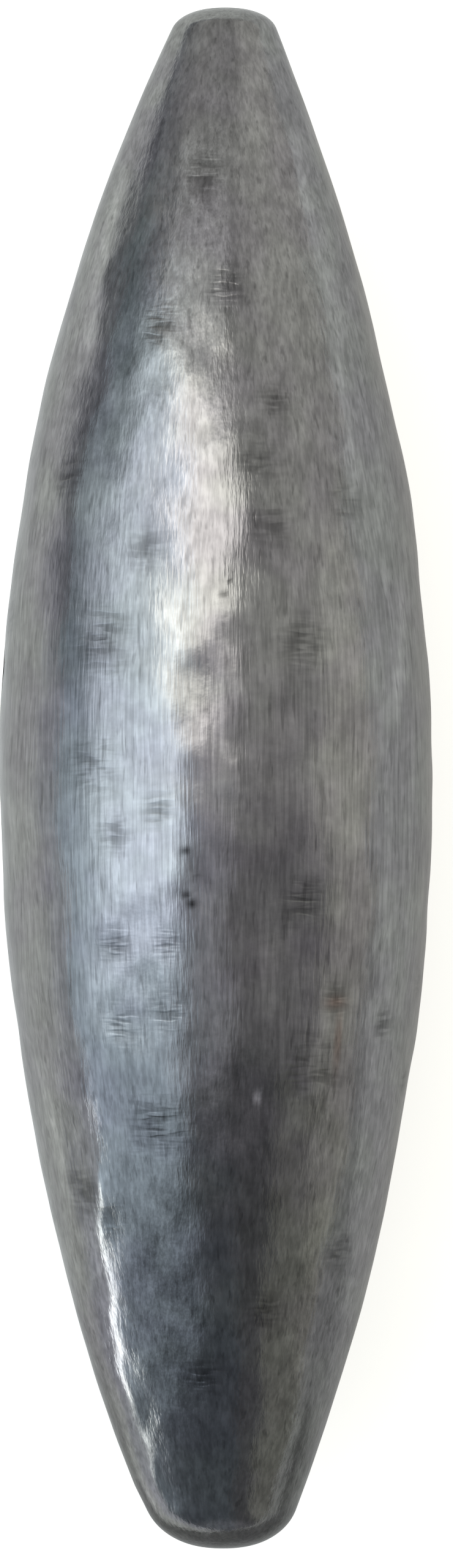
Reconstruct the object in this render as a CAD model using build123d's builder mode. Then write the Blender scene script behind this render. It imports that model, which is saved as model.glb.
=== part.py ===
from build123d import *
import math
import os

# A blending stump, in millimetres: a short, fat spindle of felt paper. Four strips of paper are wound one
# after another round a pressed core, each held by a line of paste, and the roll is then sanded to its shape.
# It lies on its side with its length along Y. The slim tip points to +Y, the broad tip to -Y, and +Z is up.
# The origin is on the rest flat, the face sanded on the underside that keeps the stump from rolling.

# Outside shape
body_length = 71.2
body_diameter = 20.0
slim_tip_diameter = 4.2
broad_tip_diameter = 5.2
slim_tip_round = 1.5
broad_tip_round = 2.3
rest_flat_depth = 0.25

# Winding
sheet_thickness = 0.72
paste_thickness = 0.05
paste_width = 4.0
free_edge_thickness = 0.08
smallest_core_radius = 1.0
sheet_names = ["first_sheet", "second_sheet", "third_sheet", "cover_sheet"]

# One turn grows by the paper and the space that its paste fills. The free edge of the cover sheet ends on
# the left side, sanded thin, so there the spiral's inside is that much under the outer surface. From there
# the turns are counted inwards, and the core takes up what is left.
half_turn = 180
body_radius = body_diameter / 2
axis_height = body_radius - rest_flat_depth
pitch = sheet_thickness + paste_thickness
free_edge_radius = body_radius - free_edge_thickness
turn_count = math.floor((free_edge_radius - pitch / 4 - smallest_core_radius) / pitch)
arc_count = 2 * turn_count + 1
first_radius = free_edge_radius - pitch / 4 - turn_count * pitch

across = Plane(origin=(0, 0, axis_height), x_dir=(1, 0, 0), z_dir=(0, -1, 0))
lengthwise = Plane(origin=(0, 0, axis_height), x_dir=(1, 0, 0), z_dir=(0, 0, 1))
long_axis = Axis((0, 0, axis_height), (0, 1, 0))


def arc_radius(index):
    """Inside radius of half turn number index: each one is half a pitch larger than the last."""
    return first_radius + index * pitch / 2


def arc_center(index):
    """Centre of a half turn. Upper and lower ones take turns either side of the axis, so that they join smoothly."""
    return (-pitch / 4, 0) if index % 2 == 0 else (pitch / 4, 0)


def arc_start(index):
    """Angle at which a half turn starts: the upper ones at +X, the lower ones at -X."""
    return 0 if index % 2 == 0 else half_turn


def arc_end(index, height):
    """Where a half turn that lies height outside the spiral's inside ends."""
    side = -1 if index % 2 == 0 else 1
    return (arc_center(index)[0] + side * (arc_radius(index) + height), 0)


def arc_begin(index, height):
    """Where a half turn that lies height outside the spiral's inside begins."""
    side = 1 if index % 2 == 0 else -1
    return (arc_center(index)[0] + side * (arc_radius(index) + height), 0)


def share_arcs(count, names):
    """Splits the half turns among the sheets, so that the strips are about equally long. Returns first and last."""
    lengths = [math.pi * (arc_radius(index) + sheet_thickness / 2) for index in range(count)]
    wanted = sum(lengths) / len(names)
    lasts = []
    for number in range(1, len(names)):
        misses = [abs(sum(lengths[: index + 1]) - number * wanted) for index in range(count)]
        lasts.append(misses.index(min(misses)))
    lasts.append(count - 1)
    firsts = [0] + [last + 1 for last in lasts[:-1]]
    return list(zip(firsts, lasts))


# The outside shape. Each half of the side is one arc that runs level at the middle and meets the end at the
# tip's diameter, and the tips are rounded. Every piece is cut to this shape, as the sanding does.
with BuildPart() as spindle:
    with BuildSketch(lengthwise) as outline:
        with BuildLine():
            slim_corner = (slim_tip_diameter / 2, body_length / 2)
            broad_corner = (broad_tip_diameter / 2, -body_length / 2)
            TangentArc((body_radius, 0), slim_corner, tangent=(0, 1))
            Line(slim_corner, (0, body_length / 2))
            Line((0, body_length / 2), (0, -body_length / 2))
            Line((0, -body_length / 2), broad_corner)
            TangentArc((body_radius, 0), broad_corner, tangent=(0, -1))
        make_face()
        slim_end = outline.vertices().group_by(Axis.Y)[-1]
        fillet(slim_end.sort_by(Axis.X)[-1], slim_tip_round)
        broad_end = outline.vertices().group_by(Axis.Y)[0]
        fillet(broad_end.sort_by(Axis.X)[-1], broad_tip_round)
    revolve(axis=long_axis)
    split(bisect_by=Plane.XY, keep=Keep.TOP)


def save(piece, name):
    """Names a finished piece and writes it to its own file."""
    piece.part.label = name
    export_step(piece.part, os.path.join("parts", name + ".step"))
    print(name, round(piece.part.volume, 1), "mm3")


os.makedirs("parts", exist_ok=True)

# The core: the first turns, rolled by hand and pressed solid. Its outline follows the inside of the first
# turn all round, and ends in the step that the first sheet butts against.
with BuildPart() as core:
    with BuildSketch(across):
        with BuildLine():
            for index in (0, 1):
                radius = arc_radius(index) - paste_thickness
                CenterArc(arc_center(index), radius, arc_start(index), half_turn)
            Line(arc_end(1, -paste_thickness), arc_begin(0, -paste_thickness))
        make_face()
    extrude(amount=body_length / 2, both=True)
    add(spindle.part, mode=Mode.INTERSECT)
save(core, "pressed_core")

# The sheets: each is a spiral of half turns, as long as the stump, cut to the outside shape. The inner ones
# come out towards the tips, so the sanded sides show the edges of all four.
shares = share_arcs(arc_count, sheet_names)
for name, (first, last) in zip(sheet_names, shares):
    with BuildPart() as sheet:
        with BuildSketch(across):
            with BuildLine():
                for index in range(first, last + 1):
                    for height in (0, sheet_thickness):
                        radius = arc_radius(index) + height
                        CenterArc(arc_center(index), radius, arc_start(index), half_turn)
                Line(arc_begin(first, 0), arc_begin(first, sheet_thickness))
                Line(arc_end(last, 0), arc_end(last, sheet_thickness))
            make_face()
        extrude(amount=body_length / 2, both=True)
        add(spindle.part, mode=Mode.INTERSECT)
    save(sheet, name)


def paste_stretches(last):
    """The half turns, start angles and sweeps that a paste line covers: either side of the joint after last."""
    stretches = []
    if last >= 0:
        sweep = math.degrees(paste_width / arc_radius(last))
        stretches.append((last, arc_start(last) + half_turn - sweep, sweep))
    if last + 1 < arc_count:
        sweep = math.degrees(paste_width / arc_radius(last + 1))
        stretches.append((last + 1, arc_start(last + 1), sweep))
    return stretches


# The paste lines: each fills the space under the end of one sheet and the start of the next, where it holds
# both to the turn beneath. The first holds the first sheet to the core, the last the cover's free edge.
paste_names = ["core_paste", "first_joint_paste", "second_joint_paste", "third_joint_paste", "free_edge_paste"]
for name, last in zip(paste_names, [-1] + [share[1] for share in shares]):
    with BuildPart() as paste:
        for index, start, sweep in paste_stretches(last):
            with BuildSketch(across):
                with BuildLine():
                    inside = CenterArc(arc_center(index), arc_radius(index) - paste_thickness, start, sweep)
                    outside = CenterArc(arc_center(index), arc_radius(index), start, sweep)
                    Line(inside @ 0, outside @ 0)
                    Line(inside @ 1, outside @ 1)
                make_face()
            extrude(amount=body_length / 2, both=True)
        add(spindle.part, mode=Mode.INTERSECT)
    save(paste, name)
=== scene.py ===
# %% [markdown]
# # A blending stump, burnished with graphite
#
# The stump is a short, fat spindle of felt paper. Four strips are wound one after another round a pressed
# core, pasted, and sanded to shape. Years of rubbing in graphite have closed the surface to a grey, dented
# sheen that is close to metal. The construction model gives the pieces, their size and their place. This
# lesson gives each of them its real surface: the sanded shape, the hand-pressed waves and dents, and the
# graphite finish.
#
# Everything is in metres, in the frame of the construction model: +Y runs along the stump to its slim tip,
# +Z is up, and the stump rests on Z = 0.

# %% Load the frame
import math

import bpy
import numpy as np
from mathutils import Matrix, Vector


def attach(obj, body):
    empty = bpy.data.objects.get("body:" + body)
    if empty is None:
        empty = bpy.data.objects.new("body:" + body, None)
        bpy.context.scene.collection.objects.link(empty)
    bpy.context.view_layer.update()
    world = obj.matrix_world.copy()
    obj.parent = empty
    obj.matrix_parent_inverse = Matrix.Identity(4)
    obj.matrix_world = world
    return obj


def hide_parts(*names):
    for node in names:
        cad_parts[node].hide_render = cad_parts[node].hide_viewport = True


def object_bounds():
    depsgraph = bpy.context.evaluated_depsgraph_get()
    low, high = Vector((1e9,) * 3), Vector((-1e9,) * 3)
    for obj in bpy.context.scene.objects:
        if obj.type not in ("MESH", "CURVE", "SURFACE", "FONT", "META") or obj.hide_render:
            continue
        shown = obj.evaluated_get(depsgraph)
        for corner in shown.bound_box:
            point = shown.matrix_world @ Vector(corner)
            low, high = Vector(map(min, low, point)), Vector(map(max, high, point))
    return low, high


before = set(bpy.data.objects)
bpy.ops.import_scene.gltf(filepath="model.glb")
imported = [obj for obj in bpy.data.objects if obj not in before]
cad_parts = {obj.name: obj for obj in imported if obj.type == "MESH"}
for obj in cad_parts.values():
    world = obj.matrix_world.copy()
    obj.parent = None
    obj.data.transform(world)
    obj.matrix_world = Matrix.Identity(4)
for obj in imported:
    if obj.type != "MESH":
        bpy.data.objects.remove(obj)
cad_low, cad_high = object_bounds()
scene = bpy.context.scene
MM = 0.001
print("nodes:", sorted(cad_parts))

# %% [markdown]
# ## The sizes
#
# The length, the width and the height of the axis come from the frame's box. The two tips differ a little:
# the slim one is sanded further than the broad one. The winding repeats the sizes of the paper and the
# paste, so that every turn comes out where the construction has it.

# %% Sizes of the stump and of its winding
half_length = (cad_high.y - cad_low.y) / 2
belly_radius = (cad_high.x - cad_low.x) / 2
axis_height = cad_high.z - belly_radius
slim_tip_radius, slim_tip_rounding = 2.0 * MM, 1.0 * MM
broad_tip_radius, broad_tip_rounding = 2.7 * MM, 1.9 * MM
slim_tip_bow, broad_tip_bow = 0.42 * MM, 0.32 * MM
tip_power = 2.5

sheet_thickness = 0.72 * MM
paste_thickness = 0.05 * MM
paste_width = 4.0 * MM
free_edge_thickness = 0.08 * MM
smallest_core_radius = 1.0 * MM
pitch = sheet_thickness + paste_thickness
turn_room = belly_radius - free_edge_thickness - pitch / 4
rounding_guard = 1e-6
turn_count = math.floor((turn_room - smallest_core_radius) / pitch + rounding_guard)
first_bore = turn_room - turn_count * pitch - pitch / 4
last_angle = (2 * turn_count + 1) * math.pi
print("half length", round(half_length / MM, 2), "belly", round(belly_radius / MM, 2))
print("turns of paper", turn_count + 0.5)

# %% [markdown]
# ## The sanded outline
#
# The side is one slow curve. It could be a circular arc, but a parabola is the same to a tenth of a
# millimetre and is easier to read: the half width falls with the square of the distance from the middle.
# Near each end it is multiplied by a rounding that drops to nothing at the very tip. The outline is kept as
# a fine table over its own length, so that a point can be asked for by its distance along the skin.

# %% Outline of the skin


def half_width(along):
    """Half width of the stump: R - (R - tip) (y / half length)^2, times (1 - q^2.5)^(1 / 2.5) near a tip,
    where q runs from 0 to 1 over the tip's rounding. A power of 2 would be a plain ellipse; 2.5 is a
    little squarer, as a tip is when it is sanded flat first."""
    slim = along >= 0
    tip = np.where(slim, slim_tip_radius, broad_tip_radius)
    rounding = np.where(slim, slim_tip_rounding, broad_tip_rounding)
    share = np.abs(along) / half_length
    side = belly_radius - (belly_radius - tip) * share**2
    q = np.clip((np.abs(along) - half_length + rounding) / rounding, 0, 1)
    return side * (1 - q**tip_power) ** (1 / tip_power)


outline_steps = 6001
outline_y = half_length * np.sin(np.linspace(math.pi / 2, -math.pi / 2, outline_steps))
outline_r = half_width(outline_y)
outline_s = np.concatenate([[0], np.cumsum(np.hypot(np.diff(outline_y), np.diff(outline_r)))])
outline_ny = np.gradient(outline_r, outline_s)
outline_nr = -np.gradient(outline_y, outline_s)
middle = len(outline_y) // 2
print("skin length tip to tip:", round(outline_s[-1] / MM, 1), "mm")


def outline_at(s):
    """Place and outward direction (y, r, ny, nr) of the outline at distance s along it from the slim tip."""
    return [np.interp(s, outline_s, table) for table in (outline_y, outline_r, outline_ny, outline_nr)]


def slim_side(radius):
    """Distance along the skin, from the slim tip, at which it is that far from the axis."""
    return np.interp(radius, outline_r[: middle + 1], outline_s[: middle + 1])


def broad_side(radius):
    """The same on the broad side, counted from the slim tip too."""
    return np.interp(radius, outline_r[middle:][::-1], outline_s[middle:][::-1])


# %% [markdown]
# ## Waves and dents
#
# Sanding by hand leaves broad, low waves and long narrow flats. Pressing and dropping leave dents. They
# could be painted with a bump map, but they bend the reflections of the whole room, so they are real
# shape: a height added to the skin, as a function of the angle round the axis and the place along it.
# The large ones have their own places. The small waves are a sum of sines with seeded phases.
#
# Rubbing has also polished some ridges, and left a few pits, a bright fleck and a brown stain. Those are
# masks over the same angle and place. They are stored on the mesh, where the finish reads them later: it
# paints a highlight on the ridges, and paints shade into the pits and the dents.

# %% The waves
# Each set: how many sines, fewest and most waves round the stump, their length along it, and their height
rng = np.random.default_rng(7)
wave_sets = []
for count, round_low, round_high, length, height in (
    (14, 1, 5, 16 * MM, 0.016 * MM),
    (30, 7, 18, 5 * MM, 0.0035 * MM),
):
    turns = rng.integers(round_low, round_high + 1, count)
    wave_numbers = rng.normal(0, 2 * math.pi / length, count)
    phases = rng.uniform(0, 2 * math.pi, count)
    wave_sets.append((turns, wave_numbers, phases, height))
print("sine waves:", sum(len(wave_set[0]) for wave_set in wave_sets))

# %% The presses and dents
# A press: lean from the top in degrees, place along, width round the skin, length and depth in millimetres.
# One with a negative depth is a swell.
presses = [
    (-38, -27, 2.5, 8.0, 0.12), (-70, -28, 1.9, 8.0, -0.34), (-54, -17, 1.3, 1.7, 0.10),
    (-61, -20.3, 0.9, 0.8, -0.06), (-44, -19.2, 0.8, 1.5, -0.05), (-50, -14.6, 1.6, 0.7, -0.04),
    (24, -6, 2.2, 5.5, 0.12), (24, -13, 2.2, 2.2, -0.04), (-48, 22, 2.2, 12.0, 0.08),
    (44, 20, 1.6, 9.0, 0.04), (20, -21, 3.0, 5.0, 0.05), (-20, 4, 3.5, 9.0, 0.05),
]

# A dent: lean from the top in degrees, and place along and width in millimetres
dents = [
    (-8, 27.7, 1.5), (4, 22.4, 1.6), (-21, 20.7, 1.5), (19, 17.1, 1.4), (13, 14.4, 1.8), (-50, 13.9, 1.6),
    (41, 12.6, 1.6), (16, 11.5, 1.6), (-20, 10.4, 1.6), (-32, 6.4, 2.5), (24, 6.2, 1.9), (-34, 0.5, 2.0),
    (-15, -1.4, 1.4), (-28, -2.5, 1.6), (24, -5.6, 1.6), (-13, -7.5, 1.1), (-28, -7.7, 1.5),
    (-13, -10.6, 1.5), (-28, -11.2, 1.4), (36, -10.1, 1.4), (56, -11.2, 1.4), (30, -13.1, 2.4),
    (-19, -15.9, 2.3), (-51, -18.9, 1.9), (-41, -19.9, 1.6), (48, -21.7, 1.5), (19, -24.2, 1.6),
    (-6, -27.3, 1.5),
]
# More of them, scattered over the sides and the underside
hidden_dents = 36
for lean, along in zip(rng.uniform(75, 285, hidden_dents), rng.uniform(-28, 28, hidden_dents)):
    dents.append((lean, along, rng.uniform(1.1, 2.0)))
print(len(presses), "presses and swells,", len(dents), "dents")

# %% Polished ridges, pits, flecks and stains
# A ridge that the rubbing has polished, and which carries a painted highlight: lean and place of one end,
# then of the other, and width. Leans are in degrees, the rest in millimetres.
polished_highlight_ridges = [
    (47, 29.0, 47, 21.0, 0.35), (47, 21.0, 45, 13.0, 0.40), (-58, 27.0, -53, 20.0, 0.5),
    (24, -15.5, 32, -11.5, 0.5), (62, 8.0, 55, 3.0, 0.5), (-66, -13.5, -60, -17.5, 0.4),
    (-50, -20.5, -48, -28.0, 0.7), (-48, -28.0, -50, -33.5, 1.0), (-50, -16.7, -41, -18.2, 0.26),
    (-41, -18.2, -42, -20.0, 0.28), (-42, -20.0, -50, -21.8, 0.26),
]
# A pit, dark with painted shade, or a bright fleck of graphite: lean in degrees, place and width in
# millimetres, and the length where it differs from the width
pits = [
    (-8, -3.3, 0.46), (-6.5, -5.7, 0.50), (-8.0, -5.3, 0.38), (2, 8.3, 0.32), (3.5, 8.9, 0.20),
    (-4.5, -4.4, 0.18),
]
flecks = [(12, -14.5, 0.26, 0.5)]
# A foxed spot, brown with age, and the trail that it left along the stroke of the rubbing
stains = [(35.5, -10.2, 1.1, 0.6), (37, -12.0, 0.36, 2.6)]
print(len(polished_highlight_ridges), "ridges,", len(pits), "pits,", len(flecks), "fleck,", len(stains), "stains")

# %% Masks over the skin
ridge_run_out = 0.6  # millimetres that a ridge runs on past its ends


def lean_of(angle):
    """Degrees from straight up, positive to the right, from the angle round the axis in radians."""
    return (90 - np.degrees(angle) + 180) % 360 - 180


def bell(angle, along, lean, place, across, length):
    """A smooth bump of height 1: exp(-(a / across)^2 - (b / length)^2), a the distance round the skin and b
    the distance along, both in metres."""
    turned = (lean_of(angle) - lean + 180) % 360 - 180
    a = np.radians(turned) * half_width(np.asarray(place))
    return np.exp(-((a / across) ** 2) - ((along - place) / length) ** 2)


def dent_bell(angle, along, lean, place, width):
    """The bell of one dent, which is a little longer along the stump than it is wide."""
    return bell(angle, along, lean, place * MM, width / 2 * MM, width / 1.8 * MM)


def dent_mask(angle, along):
    """How deep in a dent a point is, 0 outside and 1 at the bottom."""
    mask = np.zeros(np.broadcast(angle, along).shape)
    for dent in dents:
        mask = np.maximum(mask, dent_bell(angle, along, *dent))
    return mask


def ridge_mask(angle, along):
    """1 on the line of a polished ridge with its painted highlight, falling off as exp(-(a / width)^2) to its
    sides, a the distance round the skin, and in the same way past its ends."""
    mask = np.zeros(np.broadcast(angle, along).shape)
    for lean, place, to_lean, to_place, width in polished_highlight_ridges:
        share = np.clip((along / MM - place) / (to_place - place), 0, 1)
        line_place = place + (to_place - place) * share
        turned = (lean_of(angle) - lean - (to_lean - lean) * share + 180) % 360 - 180
        a = np.radians(turned) * half_width(along) / MM
        b = along / MM - line_place
        mask = np.maximum(mask, np.exp(-((a / width) ** 2) - (b / ridge_run_out) ** 2))
    return mask


def spot_mask(angle, along, spots):
    """1 in the middle of each round spot, falling off as a bell."""
    mask = np.zeros(np.broadcast(angle, along).shape)
    for lean, place, width, *length in spots:
        tall = (length[0] if length else width) * MM
        mask = np.maximum(mask, bell(angle, along, lean, place * MM, width / 2 * MM, tall / 2))
    return mask


first_lean, first_place = dents[0][:2]
bottom_mask = dent_mask(math.radians(90 - first_lean), np.array([first_place * MM]))
print("mask at the bottom of the first dent:", bottom_mask[0].round(2))

# %% Height of the skin
dent_depth = 0.014  # share of the dent's own width
tip_fade = 3 * MM


def skin_height(angle, along):
    """Waves plus dents: sum of sin(m angle + k along + phase), less the dents' bells times their depth. It
    fades to nothing at the very tips, so that the turns there meet in one smooth end."""
    height = np.zeros(np.broadcast(angle, along).shape)
    for turns, wave_numbers, phases, tall in wave_sets:
        for around, k, phase in zip(turns, wave_numbers, phases):
            height = height + tall * np.sin(around * angle + k * along + phase)
    height = height * half_width(along) / belly_radius
    for lean, place, width, length, depth in presses:
        height = height - depth * MM * bell(angle, along, lean, place * MM, width * MM, length * MM)
    for lean, place, width in dents:
        height = height - dent_depth * width * MM * dent_bell(angle, along, lean, place, width)
    return height * np.clip((half_length - np.abs(along)) / tip_fade, 0, 1)


test_angles = np.linspace(0, 2 * math.pi, 181)[:, None]
test_heights = skin_height(test_angles, np.linspace(-half_length, half_length, 181)) / MM
print("skin height from", test_heights.min().round(2), "to", test_heights.max().round(2), "mm")

# %% [markdown]
# ## From skin to space
#
# A point is named by its angle, its place along and its distance from the axis. The spine of a hand-rolled
# stump bows a little, so the tips lean to one side. The underside is rubbed flat, which is where it rests.

# %% Place points in space


def in_space(angle, along, radius):
    """x = bow + r cos(angle), y = along, z = axis + r sin(angle), never under the rest flat."""
    share = along / half_length
    bow = np.where(along > 0, slim_tip_bow * share**4, broad_tip_bow * share**2)
    x = bow + radius * np.cos(angle)
    z = np.maximum(axis_height + radius * np.sin(angle), 0)
    return np.stack(np.broadcast_arrays(x, along, z), axis=-1)


def skin_point(angle, s):
    """(along, radius) of the skin: the outline moved along its own normal by the waves and dents."""
    y, r, ny, nr = outline_at(s)
    height = skin_height(angle, y)
    return y + ny * height, r + nr * height


top_angle = np.array([math.pi / 2])
belly_y, belly_r = skin_point(top_angle, outline_s[middle])
print("top of the belly, mm:", np.round(in_space(top_angle, belly_y, belly_r)[0] / MM, 2))

# %% [markdown]
# ## A wound sheet
#
# A sheet is a spiral. At each angle it is cut by a plane through the axis, and the cut is a flat, closed
# outline: the sanded skin near the slim tip, the hidden outside under the next turn, the sanded skin near the
# broad tip, and the bore. Carrying that outline round the axis while its distance grows by one pitch a turn
# gives the whole sheet, so the pieces meet on the skin just where the sanding cut through them. The turns
# under the last one are covered. The last turn is skin from end to end.
#
# Rubbing has pressed the rims shut, so below the skin each turn lies a little deeper than the pitch says.

# %% The cut outline of a sheet
rim_depth = 0.30 * MM


def bore(turned):
    """Distance from the axis of the inside of the paper, at the unwound angle in radians."""
    return first_bore + pitch * turned / (2 * math.pi)


def sheet_rows(turned, covered, count):
    """The cut outline at each unwound angle: (along, radius), count points on each sanded part."""
    angle = turned[:, None]
    inside, outside = bore(turned), bore(turned) + pitch
    slim_rim, broad_rim = slim_side(inside), broad_side(inside)
    slim_end = slim_side(outside) if covered else np.full_like(turned, outline_s[middle])
    broad_end = broad_side(outside) if covered else np.full_like(turned, outline_s[middle])
    steps = np.linspace(0, 1, count)
    slim_y, slim_r = skin_point(angle, slim_rim[:, None] + (slim_end - slim_rim)[:, None] * steps)
    broad_y, broad_r = skin_point(angle, broad_end[:, None] + (broad_rim - broad_end)[:, None] * steps)
    under = (outside - rim_depth - paste_thickness)[:, None] if covered else None
    step_r = np.repeat(under, 2, axis=1) if covered else np.hstack([slim_r[:, -1:], broad_r[:, :1]])
    along = np.hstack([slim_y, slim_y[:, -1:], broad_y[:, :1], broad_y, broad_y[:, -1:], slim_y[:, :1]])
    bore_r = np.repeat((inside - rim_depth)[:, None], 2, axis=1)
    radius = np.hstack([slim_r, step_r, broad_r, bore_r])
    return along, radius


print("bore at the start and the end, mm:", np.round([bore(0) / MM, bore(last_angle) / MM], 2))

# %% From rows of points to a mesh
crisp_angle = math.radians(40)


def surface_marks(angle, along):
    """The masks that the finish reads from the skin: dents and pits, where it paints shade, polished ridges,
    where it paints a highlight, flecks and stains.
    """
    return {
        "dent": dent_mask(angle, along),
        "ridge": ridge_mask(angle, along),
        "pit": spot_mask(angle, along, pits),
        "fleck": spot_mask(angle, along, flecks),
        "stain": spot_mask(angle, along, stains),
    }


def make_piece(name, points, faces, marks):
    """A mesh object at the origin from points and faces, with its marks and crisp rims."""
    mesh = bpy.data.meshes.new(name)
    mesh.from_pydata(points, [], faces)
    for label, values in marks.items():
        layer = mesh.attributes.new(label, "FLOAT", "POINT")
        layer.data.foreach_set("value", values.astype(np.float32))
    mesh.shade_smooth()
    mesh.set_sharp_from_angle(angle=crisp_angle)
    mesh.update()
    piece = bpy.data.objects.new(name, mesh)
    scene.collection.objects.link(piece)
    print(name, len(mesh.vertices), "points", len(mesh.polygons), "faces")
    return piece


def ring_faces(ids):
    """Quads between neighbouring rows of a grid of point numbers whose columns close on themselves. Where
    points are shared, a quad has an edge of no length: it becomes a triangle, or is left out."""
    near, far = ids[:-1], ids[1:]
    loop = [near, far, np.roll(far, -1, axis=1), np.roll(near, -1, axis=1)]
    corners = np.stack(loop, axis=-1).reshape(-1, 4)
    repeats = corners == np.roll(corners, -1, axis=1)
    whole = corners[~repeats.any(axis=1)].tolist()
    once = repeats.sum(axis=1) == 1
    triangles = corners[once][~repeats[once]].reshape(-1, 3).tolist()
    return whole + triangles


print("faces of a ring of 3 rows and 4 columns:", len(ring_faces(np.arange(12).reshape(3, 4))))

# %% Wind the four sheets
turn_samples = 288


def sheet_grid(start, end, count):
    """Angle, place along and distance from the axis of every point of a sheet from the unwound angle start
    to end, and whether each row is covered by the next turn."""
    last_cover = last_angle - 2 * math.pi
    angles, alongs, radii, covers = [], [], [], []
    for low, high, covered in ((start, min(end, last_cover), True), (max(start, last_cover), end, False)):
        if high <= low:
            continue
        turned = np.linspace(low, high, round((high - low) / (2 * math.pi) * turn_samples) + 1)
        along, radius = sheet_rows(turned, covered, count)
        angles.append(np.broadcast_to(turned[:, None], along.shape))
        alongs.append(along)
        radii.append(radius)
        covers.append(np.full(len(turned), covered))
    return np.vstack(angles), np.vstack(alongs), np.vstack(radii), np.concatenate(covers)


def wound_sheet(name, start, end, count):
    """Carries the cut outline from the unwound angle start to end, and caps both ends. On the last turn the
    two sanded parts meet, so they and the two hidden corners between them share one point."""
    angle, along, radius, covered = sheet_grid(start, end, count)
    rows, columns = angle.shape
    ids = np.arange(rows * columns).reshape(rows, columns)
    for column in (count, count + 1, count + 2):
        ids[~covered, column] = ids[~covered, count - 1]
    used, ids = np.unique(ids, return_inverse=True)
    ids = ids.reshape(rows, columns)
    faces = ring_faces(ids)
    first_cap = list(dict.fromkeys(ids[0].tolist()))
    last_cap = list(dict.fromkeys(ids[-1].tolist()))
    faces += [first_cap, last_cap[::-1]]
    points = in_space(angle, along, radius).reshape(-1, 3)[used]
    marks = {label: values.ravel()[used] for label, values in surface_marks(angle, along).items()}
    return make_piece(name, points, faces, marks)


# First and last half turn of each sheet: the strips are about equally long, so the outer ones have fewer.
# The third number is how many points cross each sanded part.
sheet_half_turns = {
    "first_sheet": (0, 9, 16), "second_sheet": (10, 14, 18), "third_sheet": (15, 18, 24),
    "cover_sheet": (19, 22, 56),
}
pieces = {}
for name, (first, last, samples) in sheet_half_turns.items():
    piece = wound_sheet(name + "_paper", first * math.pi, (last + 1) * math.pi, samples)
    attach(piece, "root")
    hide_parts(name)
    pieces[name] = piece

# %% [markdown]
# ## The pressed core
#
# The core is the first turns, rolled by hand and pressed solid. Its ends are the middles of the two tips. It
# is the same kind of surface as a sheet, a cut outline carried round the axis, but the outline starts and
# ends on the axis. So each pole is one point, with a fan of triangles round it, and nothing is left open.

# %% Build the core
core_samples = 14


def make_core():
    """Outline at each angle: pole, sanded tip out to the first turn, down to the hidden side, and the same
    again at the broad tip."""
    turned = np.linspace(0, 2 * math.pi, turn_samples + 1)
    angle = turned[:, None]
    outside = bore(turned)
    steps = np.linspace(0, 1, core_samples + 1)[1:]
    total = outline_s[-1]
    slim_y, slim_r = skin_point(angle, slim_side(outside)[:, None] * steps)
    broad_y, broad_r = skin_point(angle, total - (total - broad_side(outside))[:, None] * steps[::-1])
    hidden = np.repeat((outside - rim_depth - paste_thickness)[:, None], 2, axis=1)
    along = np.hstack([slim_y, slim_y[:, -1:], broad_y[:, :1], broad_y])
    radius = np.hstack([slim_r, hidden, broad_r])
    rows, columns = along.shape
    side = in_space(np.broadcast_to(angle, along.shape), along, radius).reshape(-1, 3)
    poles = in_space(np.zeros(2), np.array([half_length, -half_length]), np.zeros(2))
    i, j = np.meshgrid(np.arange(rows), np.arange(columns - 1), indexing="ij")
    k = (i + 1) % rows
    quads = np.stack([i * columns + j, k * columns + j, k * columns + j + 1, i * columns + j + 1], axis=-1)
    i, k = np.arange(rows), (np.arange(rows) + 1) % rows
    slim_fan = np.stack([np.full(rows, rows * columns), k * columns, i * columns], axis=-1)
    last = columns - 1
    broad_fan = np.stack([np.full(rows, rows * columns + 1), i * columns + last, k * columns + last], axis=-1)
    faces = quads.reshape(-1, 4).tolist() + slim_fan.tolist() + broad_fan.tolist()
    return make_piece("pressed_core_paper", np.vstack([side, poles]), faces, {})


core = make_core()
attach(core, "root")
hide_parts("pressed_core")

# %% [markdown]
# ## The paste lines
#
# Each joint is held by a line of paste as long as the paper is there, brushed on four millimetres either side
# of it. Dried, it is a skin a twentieth of a millimetre thick in the space between two turns. It stops under
# the rims, because the sanding has closed them.

# %% Build the paste lines
# Half turns up to each joint
paste_joints = {
    "core_paste": 0, "first_joint_paste": 10, "second_joint_paste": 15, "third_joint_paste": 19,
    "free_edge_paste": 23,
}
paste_end_gap = 0.4 * MM
paste_samples_round, paste_samples_along = 49, 25


def make_paste(name, joint):
    """A thin box bent round the axis, under the paper either side of a joint at that many half turns."""
    middle_angle = joint * math.pi
    reach = paste_width / bore(middle_angle)
    low_angle, high_angle = max(middle_angle - reach, 0), min(middle_angle + reach, last_angle)
    turned = np.linspace(low_angle, high_angle, paste_samples_round)
    top = bore(turned) - rim_depth
    low = top - paste_thickness
    slim_end = outline_at(slim_side(bore(turned)))[0] - paste_end_gap
    broad_end = outline_at(broad_side(bore(turned)))[0] + paste_end_gap
    steps = np.linspace(0, 1, paste_samples_along)
    down = slim_end[:, None] + (broad_end - slim_end)[:, None] * steps
    along = np.hstack([down, down[:, ::-1]])
    radius = np.repeat(np.stack([top, low], axis=1), paste_samples_along, axis=1)
    rows, columns = along.shape
    points = in_space(np.broadcast_to(turned[:, None], along.shape), along, radius).reshape(-1, 3)
    ids = np.arange(rows * columns).reshape(rows, columns)
    faces = ring_faces(ids) + [ids[0].tolist(), ids[-1].tolist()[::-1]]
    return make_piece(name, points, faces, {})


for name, joint in paste_joints.items():
    line = make_paste(name + "_line", joint)
    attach(line, "root")
    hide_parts(name)
    pieces[name] = line
pieces["pressed_core"] = core

# %% [markdown]
# ## Patterns in the surface
#
# Three things show when graphite-rubbed felt is looked at closely. Lengthwise strokes of the sanding and the
# rubbing, from a sixth to two thirds of a millimetre wide and up to a centimetre long. A soft mottle, where
# the felt took more or less graphite. And fine crosswise ridges in the dents, where the paper has crumpled.
# Each is a small node group, so that one finish can use it at several sizes. All read Object coordinates,
# which are metres in the stump's own frame.

# %% Small helpers for node trees


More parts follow.
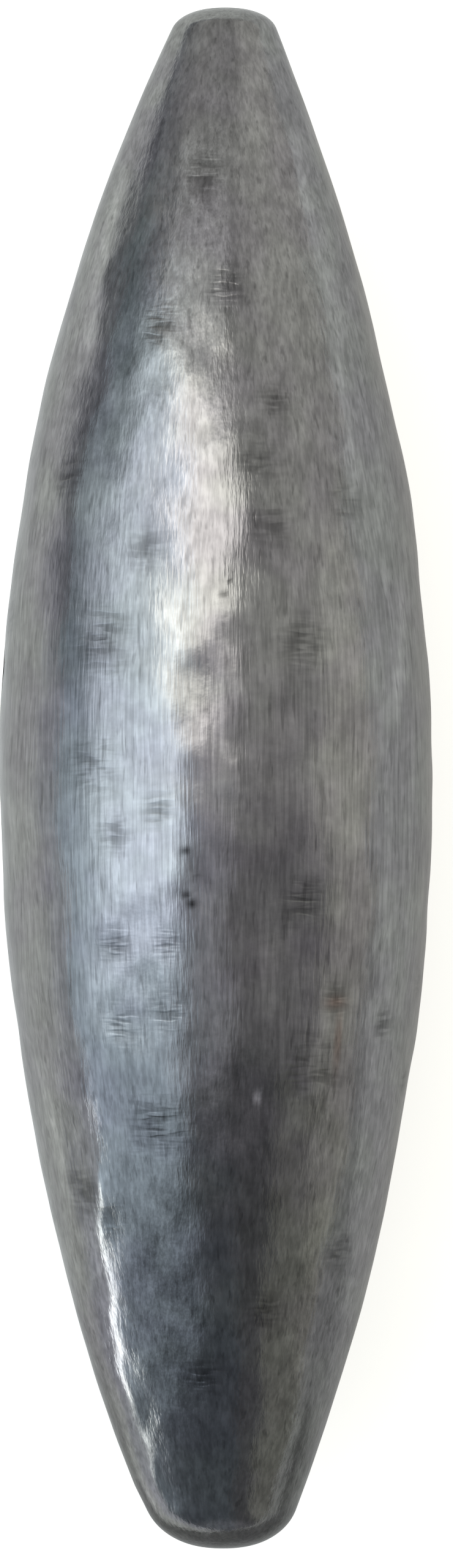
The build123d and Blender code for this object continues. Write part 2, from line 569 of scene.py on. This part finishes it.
def new_group(name, inputs, outputs):
    """A node group with named sockets: inputs and outputs are (name, socket type, value) lists."""
    group = bpy.data.node_groups.new(name, "ShaderNodeTree")
    for label, kind, value in inputs:
        socket = group.interface.new_socket(label, in_out="INPUT", socket_type=kind)
        if value is not None:
            socket.default_value = value
    for label, kind in outputs:
        group.interface.new_socket(label, in_out="OUTPUT", socket_type=kind)
    return group, group.nodes.new("NodeGroupInput"), group.nodes.new("NodeGroupOutput")


def add(tree, kind, settings=None, **inputs):
    """Adds a node. Keywords name its inputs: a value is set, and a socket is linked."""
    node = tree.nodes.new(kind)
    for key, value in (settings or {}).items():
        setattr(node, key, value)
    for label, value in inputs.items():
        place(tree, node, label.replace("_", " "), value)
    return node


def place(tree, node, label, value):
    """Puts a value or a link on the node's input of that name or number."""
    socket = node.inputs[int(label[1:])] if label[0] == "n" and label[1:].isdigit() else node.inputs[label]
    if isinstance(value, bpy.types.NodeSocket):
        tree.links.new(value, socket)
    else:
        socket.default_value = value


def maths(tree, operation, first, second=0.0, third=0.0):
    """A Math node's result."""
    settings = {"operation": operation}
    return add(tree, "ShaderNodeMath", settings, n0=first, n1=second, n2=third).outputs[0]


def spread(tree, value, low, high, to_low, to_high):
    """Moves a value from one range to another, smoothly and held at both ends."""
    settings = {"interpolation_type": "SMOOTHSTEP"}
    ranges = {"From_Min": low, "From_Max": high, "To_Min": to_low, "To_Max": to_high}
    return add(tree, "ShaderNodeMapRange", settings, Value=value, **ranges).outputs["Result"]


def scaled(tree, vector, factor):
    """A colour or vector times a factor."""
    return add(tree, "ShaderNodeVectorMath", {"operation": "SCALE"}, n0=vector, Scale=factor).outputs[0]


def squeezed_object(tree, across, along):
    """Object coordinates times one factor along the stump and another across it."""
    coordinates = tree.nodes.new("ShaderNodeTexCoord").outputs["Object"]
    factors = add(tree, "ShaderNodeCombineXYZ", X=across, Y=along, Z=across).outputs[0]
    settings = {"operation": "MULTIPLY"}
    return add(tree, "ShaderNodeVectorMath", settings, n0=coordinates, n1=factors).outputs[0]


# %% The groups
fine_ratio = 2.7  # how much finer the mottle's fine noise is
ridge_ratio = 0.22  # width of a crumple's ridge over its length


def make_streaks():
    """Noise on coordinates squeezed along Y, so that each grain is drawn out along the stump."""
    group, inside, outside = new_group(
        "lengthwise streaks",
        [("Width", "NodeSocketFloat", 0.2 * MM), ("Length", "NodeSocketFloat", 4 * MM)],
        [("Streaks", "NodeSocketFloat")],
    )
    across = maths(group, "DIVIDE", 1.0, inside.outputs["Width"])
    along = maths(group, "DIVIDE", 1.0, inside.outputs["Length"])
    squeezed = squeezed_object(group, across, along)
    noise = add(group, "ShaderNodeTexNoise", Vector=squeezed, Scale=1.0, Detail=2.0, Roughness=0.6)
    group.links.new(noise.outputs["Fac"], outside.inputs["Streaks"])
    return group


def make_mottle():
    """Two sizes of soft noise, one finer than the other, added in shares that make up 1."""
    group, inside, outside = new_group(
        "graphite mottle",
        [("Size", "NodeSocketFloat", 1 * MM), ("Fine Share", "NodeSocketFloat", 0.4)],
        [("Mottle", "NodeSocketFloat")],
    )
    coordinates = group.nodes.new("ShaderNodeTexCoord").outputs["Object"]
    scale = maths(group, "DIVIDE", 1.0, inside.outputs["Size"])
    finer = maths(group, "MULTIPLY", scale, fine_ratio)
    coarse = add(group, "ShaderNodeTexNoise", Vector=coordinates, Scale=scale, Detail=1.0).outputs["Fac"]
    fine = add(group, "ShaderNodeTexNoise", Vector=coordinates, Scale=finer, Detail=2.0).outputs["Fac"]
    share = inside.outputs["Fine Share"]
    coarse_part = maths(group, "MULTIPLY", coarse, maths(group, "SUBTRACT", 1.0, share))
    total = maths(group, "MULTIPLY_ADD", fine, share, coarse_part)
    group.links.new(total, outside.inputs["Mottle"])
    return group


def make_crumple():
    """Uneven ridges across the stump, inside a mask."""
    group, inside, outside = new_group(
        "crosswise crumple",
        [("Spacing", "NodeSocketFloat", 0.25 * MM), ("Mask", "NodeSocketFloat", 1.0)],
        [("Ridges", "NodeSocketFloat")],
    )
    along = maths(group, "DIVIDE", 1.0, inside.outputs["Spacing"])
    across = maths(group, "MULTIPLY", along, ridge_ratio)
    squeezed = squeezed_object(group, across, along)
    noise = add(group, "ShaderNodeTexNoise", Vector=squeezed, Scale=1.0, Detail=1.0).outputs["Fac"]
    ridges = spread(group, noise, 0.38, 0.62, 0.0, 1.0)
    group.links.new(maths(group, "MULTIPLY", ridges, inside.outputs["Mask"]), outside.inputs["Ridges"])
    return group


streak_group, mottle_group, crumple_group = make_streaks(), make_mottle(), make_crumple()
print("groups:", [group.name for group in bpy.data.node_groups])

# %% [markdown]
# ## Graphite-burnished paper
#
# Graphite is flakes of a soft, grey, shiny mineral. Rubbed flat, they lie like tiny mirrors, and the paper
# reflects as a dull metal does. So the shader is a metal of medium grey, with a roughness that changes with
# the strokes and the mottle, and fine bumps that break up the reflections.

# %% The burnished paper


def use_group(tree, group, **inputs):
    """Places a node group with its own values."""
    node = tree.nodes.new("ShaderNodeGroup")
    node.node_tree = group
    for label, value in inputs.items():
        place(tree, node, label.replace("_", " "), value)
    return node


def mixed(tree, factor, first, second):
    """A colour between two others."""
    settings = {"data_type": "RGBA"}
    return add(tree, "ShaderNodeMix", settings, n0=factor, n6=first, n7=second).outputs[2]


# How much each mark of the skin lightens or darkens the graphite, at its full strength: painted shade
# in the dents and pits, a painted highlight on the polished ridges, and a bright fleck
shade_highlight_and_fleck_gains = {"dent": -0.20, "ridge": 0.28, "pit": -0.95, "fleck": 3.0}
# Painted shade along the crumpled creases in the dents
crumple_shade = -0.40
# Each noise: its range, and the factors that the range is spread to
mottle_range, streak_range = (0.32, 0.68, 0.89, 1.09), (0.32, 0.68, 0.86, 1.14)
speck_range, dash_range = (0.35, 0.65, 0.95, 1.04), (0.58, 0.68, 1.0, 0.76)
long_streak_range, patch_range = (0.34, 0.66, 0.93, 1.07), (0.38, 0.62, 0.96, 1.04)
cool_patch, warm_patch, foxed = (1.0, 0.97, 0.985, 1), (1.0, 1.0, 0.96, 1), (1.0, 0.72, 0.62, 1)
foxed_share = 0.7
edge_tint = (0.85, 0.85, 0.85, 1)
smoothest, roughest = 0.8, 1.25  # times the finish's own roughness
ridge_polish, ridge_flatness = -0.35, -0.8  # what a polished ridge does to the roughness and the grain
grain_height = 0.012 * MM
streak_grain, crumple_grain = 0.9, -0.6  # beside the mottle's 1


def burnished_paper(name, tone, roughness):
    """Graphite of that tone on felt. Each noise is spread to a factor near 1, the factors are multiplied, and
    the product scales the colour. The marks scale it too, with painted shade in the dents, their creases
    and the pits, and a painted highlight on the polished ridges. Polished ridges are smoother and have less
    grain."""
    material = bpy.data.materials.new(name)
    material.use_nodes = True
    tree = material.node_tree
    shader = tree.nodes["Principled BSDF"]
    labels = list(shade_highlight_and_fleck_gains) + ["stain"]
    marks = {
        label: add(tree, "ShaderNodeAttribute", {"attribute_name": label}).outputs["Fac"] for label in labels
    }
    streaks = use_group(tree, streak_group, Width=0.16 * MM, Length=3.5 * MM).outputs[0]
    long_streaks = use_group(tree, streak_group, Width=0.6 * MM, Length=12 * MM).outputs[0]
    specks = use_group(tree, streak_group, Width=0.35 * MM, Length=0.9 * MM).outputs[0]
    dashes = use_group(tree, streak_group, Width=0.24 * MM, Length=2.2 * MM).outputs[0]
    mottle = use_group(tree, mottle_group, Size=1.1 * MM, Fine_Share=0.38).outputs[0]
    patches = use_group(tree, mottle_group, Size=4.5 * MM, Fine_Share=0.35).outputs[0]
    crumple = use_group(tree, crumple_group, Spacing=0.28 * MM, Mask=marks["dent"]).outputs[0]

    # Painted shade along the crumpled creases in the dents
    light = maths(tree, "MULTIPLY_ADD", crumple, crumple_shade, 1.0)
    for noise, ranges in (
        (mottle, mottle_range), (streaks, streak_range), (specks, speck_range), (dashes, dash_range),
        (long_streaks, long_streak_range), (patches, patch_range),
    ):
        light = maths(tree, "MULTIPLY", light, spread(tree, noise, *ranges))
    # Painted shade in the dents and pits, a painted highlight on the polished ridges, and the bright fleck
    for label, gain in shade_highlight_and_fleck_gains.items():
        light = maths(tree, "MULTIPLY", light, maths(tree, "MULTIPLY_ADD", marks[label], gain, 1.0))
    tint = mixed(tree, spread(tree, patches, 0.38, 0.62, 0.0, 1.0), cool_patch, warm_patch)
    tint = mixed(tree, maths(tree, "MULTIPLY", marks["stain"], foxed_share), tint, foxed)
    colour = scaled(tree, scaled(tree, tint, tone), light)
    tree.links.new(colour, shader.inputs["Base Color"])
    shader.inputs["Metallic"].default_value = 1.0
    shader.inputs["Specular Tint"].default_value = edge_tint
    uneven = spread(tree, long_streaks, 0.3, 0.7, roughness * smoothest, roughness * roughest)
    polish = maths(tree, "MULTIPLY_ADD", marks["ridge"], ridge_polish, 1.0)
    tree.links.new(maths(tree, "MULTIPLY", uneven, polish), shader.inputs["Roughness"])
    height = maths(tree, "MULTIPLY_ADD", streaks, streak_grain, mottle)
    height = maths(tree, "MULTIPLY_ADD", crumple, crumple_grain, height)
    strength = maths(tree, "MULTIPLY_ADD", marks["ridge"], ridge_flatness, 1.0)
    bump = add(tree, "ShaderNodeBump", Strength=strength, Distance=grain_height, Height=height)
    tree.links.new(bump.outputs["Normal"], shader.inputs["Normal"])
    print(name, "has", len(tree.nodes), "nodes")
    return material


def dried_paste():
    """A brittle skin of flour paste: yellowish, cloudy and a little glossy."""
    material = bpy.data.materials.new("dried paste")
    material.use_nodes = True
    tree = material.node_tree
    shader = tree.nodes["Principled BSDF"]
    clouds = use_group(tree, mottle_group, Size=1.6 * MM, Fine_Share=0.3).outputs[0]
    share = spread(tree, clouds, 0.3, 0.7, 0.0, 1.0)
    flour, chalk = (0.50, 0.46, 0.36, 1), (0.62, 0.60, 0.54, 1)
    tree.links.new(mixed(tree, share, flour, chalk), shader.inputs["Base Color"])
    tree.links.new(spread(tree, clouds, 0.3, 0.7, 0.45, 0.7), shader.inputs["Roughness"])
    bump = add(tree, "ShaderNodeBump", Strength=1.0, Distance=0.01 * MM, Height=clouds)
    tree.links.new(bump.outputs["Normal"], shader.inputs["Normal"])
    return material


graphite = burnished_paper("graphite paper", tone=0.31, roughness=0.15)
core_graphite = burnished_paper("core paper", tone=0.28, roughness=0.20)
paste = dried_paste()
for name, piece in pieces.items():
    finish = graphite if name in sheet_half_turns else paste
    if name == "pressed_core":
        finish = core_graphite
    piece.data.materials.append(finish)

# %% [markdown]
# ## Floor, light and camera
#
# A polished surface shows its room, so the light is drawn as a room: a dim grey sky with soft windows in it.
# Each window is a rectangle in the direction that light comes from, with blurred edges. The brightest make
# one large window above, cool on its left side, and a thin, bright strip lies low on the left, towards the
# broad tip. The floor is paler to the camera than to the reflections in the stump, which would otherwise
# wash out its sides. To the reflections it carries painted shade, dark in front of the broad tip and far
# off on the left.

# %% Floor
floor_size = 8.0
glow_to_camera, glow_to_stump = 0.72, 0.17
paint_to_camera = 0.8
floor_points = np.array([[-1, -1, 0], [1, -1, 0], [1, 1, 0], [-1, 1, 0]]) * floor_size / 2
floor_mesh = bpy.data.meshes.new("floor")
floor_mesh.from_pydata(floor_points, [], [(0, 1, 2, 3)])
floor = bpy.data.objects.new("floor", floor_mesh)
scene.collection.objects.link(floor)


def pale_floor():
    """Paint whose grey, a painted shade that the stump reflects, changes with the place on the floor, and
    which glows a little. To the camera it is nearly white everywhere."""
    material = bpy.data.materials.new("pale floor")
    material.use_nodes = True
    tree = material.node_tree
    shader = tree.nodes["Principled BSDF"]
    shader.inputs["Roughness"].default_value = 0.9
    shader.inputs["Emission Color"].default_value = (1.0, 0.99, 0.94, 1)
    seen = tree.nodes.new("ShaderNodeLightPath").outputs["Is Camera Ray"]
    spot = tree.nodes.new("ShaderNodeTexCoord").outputs["Object"]
    spot_parts = add(tree, "ShaderNodeSeparateXYZ", Vector=spot).outputs
    x, y = spot_parts["X"], spot_parts["Y"]

    # Painted shade: dark in front of the broad tip, but not on the left of it, and paler to the left than
    # to the right
    before_tip = spread(tree, y, -52 * MM, -22 * MM, 0.26, 1.0)
    beside_tip = spread(tree, x, -30 * MM, -8 * MM, 0.85, 0.0)
    shade = maths(tree, "MAXIMUM", before_tip, beside_tip)
    shade = maths(tree, "MULTIPLY", shade, spread(tree, x, -30 * MM, 30 * MM, 0.96, 0.77))
    # Further off on the right the painted shade fades to pale, so that no dark line shows along the lower
    # right side
    shade = maths(tree, "MAXIMUM", shade, spread(tree, x, 22 * MM, 65 * MM, 0.0, 0.46))
    # Far off on the left the painted shade is dark again and a little bluer, most of all towards the slim tip
    far_left = spread(tree, x, -85 * MM, -30 * MM, 1.0, 0.0)
    loss = maths(tree, "MULTIPLY", far_left, spread(tree, y, 0.0, 50 * MM, 0.22, 0.72))
    shade = maths(tree, "MULTIPLY", shade, maths(tree, "SUBTRACT", 1.0, loss))

    camera_glow = maths(tree, "MULTIPLY", seen, glow_to_camera)
    stump_glow = maths(tree, "MULTIPLY", shade, glow_to_stump)
    tree.links.new(maths(tree, "MAXIMUM", camera_glow, stump_glow), shader.inputs["Emission Strength"])
    shade = maths(tree, "MAXIMUM", shade, maths(tree, "MULTIPLY", seen, paint_to_camera))
    blue = maths(tree, "MULTIPLY", shade, maths(tree, "MULTIPLY_ADD", far_left, 0.14, 0.955))
    paint = add(tree, "ShaderNodeCombineColor", Red=shade, Green=shade, Blue=blue).outputs[0]
    tree.links.new(paint, shader.inputs["Base Color"])
    return material


floor.data.materials.append(pale_floor())
print("floor", floor_size, "m across")

# %% Soft windows


def make_window():
    """1 inside a rectangle of directions and 0 outside, with smooth edges of its own width."""
    defaults = {"X": 0.0, "Y": 0.0, "Left": -0.5, "Right": 0.5, "Bottom": -0.5, "Top": 0.5}
    defaults.update({"Softness": 0.1, "Red": 1.0, "Green": 1.0, "Blue": 1.0})
    inputs = [(label, "NodeSocketFloat", value) for label, value in defaults.items()]
    group, inside, outside = new_group("soft window", inputs, [("Light", "NodeSocketVector")])
    value = inside.outputs
    mask = 1.0
    for axis, low, high in (("X", "Left", "Right"), ("Y", "Bottom", "Top")):
        for edge, sign in ((low, 1.0), (high, -1.0)):
            beyond = maths(group, "MULTIPLY", maths(group, "SUBTRACT", value[axis], value[edge]), sign)
            share = maths(group, "ADD", maths(group, "DIVIDE", beyond, value["Softness"]), 0.5)
            mask = maths(group, "MULTIPLY", mask, spread(group, share, 0.0, 1.0, 0.0, 1.0))
    tint = add(group, "ShaderNodeCombineXYZ", X=value["Red"], Y=value["Green"], Z=value["Blue"]).outputs[0]
    group.links.new(scaled(group, tint, mask), outside.inputs["Light"])
    return group


# Each row is left, right, bottom, top, softness, red, green, blue. The first four are the X and Y of the
# direction, so (0, 0) is straight up and a length of 1 is the horizon. Rows add up where they overlap, and a
# colour below 0 takes light away.
windows = [
    # The dim sky, a cooler patch towards the broad tip, and the brighter right side and slim half
    (-3.00, 3.0, -3.00, 3.00, 0.10, 0.133, 0.137, 0.147),
    (-0.95, 0.22, -1.20, -0.48, 0.24, -0.010, 0.006, 0.020),
    (-0.10, 1.2, -0.33, -0.02, 0.20, 0.130, 0.120, 0.130),
    (-0.60, 3.0, -0.02, 3.00, 0.32, 0.33, 0.325, 0.32),
    (0.36, 3.0, -0.04, 3.00, 0.46, 0.15, 0.15, 0.13),
    # Low light beyond both tips and on the left
    (-1.20, 1.2, -1.20, -0.88, 0.12, 0.10, 0.10, 0.11),
    (0.30, 3.0, 0.50, 3.00, 0.20, 0.08, 0.08, 0.08),
    (-1.20, -0.50, 0.62, 1.20, 0.20, 0.12, 0.12, 0.12),
    (-1.20, -0.62, 0.50, 1.20, 0.20, 0.18, 0.18, 0.19),
    (-1.20, -0.30, 0.05, 0.55, 0.20, 0.03, 0.075, 0.085),
    (-1.10, -0.66, 0.20, 0.41, 0.14, 0.30, 0.33, 0.38),
    # The two white panes of the large window, and a paler patch towards either tip
    (-0.46, -0.12, 0.10, 0.48, 0.12, 1.80, 1.76, 1.68),
    (-0.12, 0.17, 0.16, 0.46, 0.14, 1.80, 1.76, 1.68),
    (-0.15, 0.22, -0.04, 0.16, 0.20, 0.26, 0.25, 0.26),
    (-0.58, 0.12, 0.42, 0.64, 0.12, 0.38, 0.39, 0.40),
    # Its cool left side, fading towards the broad tip
    (-0.80, -0.40, 0.28, 0.47, 0.20, 1.12, 1.24, 1.38),
    (-0.92, -0.38, -0.18, 0.28, 0.20, 1.14, 1.26, 1.40),
    (-1.10, -0.32, -0.48, 0.06, 0.30, 0.60, 0.74, 0.90),
    (-0.44, 0.10, -0.34, 0.04, 0.30, 0.26, 0.27, 0.32),
    # Low light on the right
    (0.86, 1.20, -0.45, 0.20, 0.16, 0.26, 0.26, 0.22),
    (0.58, 1.20, -0.80, -0.36, 0.16, 0.14, 0.14, 0.11),
]
strip_row = (-1.2, -0.79, -0.53, -0.33, 0.06, 3.0, 3.1, 3.1)
strip_full_height, strip_top_height = 0.03, 0.07


def window_light(tree, parts, row):
    """The light of one window row in the direction whose X and Y are given."""
    labels = ["Left", "Right", "Bottom", "Top", "Softness", "Red", "Green", "Blue"]
    values = dict(zip(labels, row))
    return use_group(tree, window_group, X=parts["X"], Y=parts["Y"], **values).outputs[0]


window_group = make_window()
world = bpy.data.worlds.new("studio")
world.use_nodes = True
scene.world = world
tree = world.node_tree
direction = tree.nodes.new("ShaderNodeTexCoord").outputs["Generated"]
parts = add(tree, "ShaderNodeSeparateXYZ", Vector=direction).outputs
# The strip lies only just over the horizon
near_horizon = spread(tree, parts["Z"], strip_full_height, strip_top_height, 1.0, 0.0)
total = scaled(tree, window_light(tree, parts, strip_row), near_horizon)
for row in windows:
    light = window_light(tree, parts, row)
    total = add(tree, "ShaderNodeVectorMath", {"operation": "ADD"}, n0=total, n1=light).outputs[0]
tree.links.new(total, tree.nodes["Background"].inputs["Color"])
print(len(windows), "soft windows and one strip")

# %% Camera
camera_height = 0.45
frame_height = 72.5 * MM
sensor_size = 36
camera_x, camera_y = 0.48 * MM, -0.28 * MM
camera = bpy.data.objects.new("camera", bpy.data.cameras.new("camera"))
camera.data.sensor_width = sensor_size
camera.data.lens = sensor_size * camera_height / frame_height
camera.data.clip_start = 0.01
camera.location = (camera_x, camera_y, axis_height + camera_height)
scene.collection.objects.link(camera)
scene.camera = camera
scene.view_settings.view_transform = "Standard"
print("lens", round(camera.data.lens, 1), "mm, looking straight down")
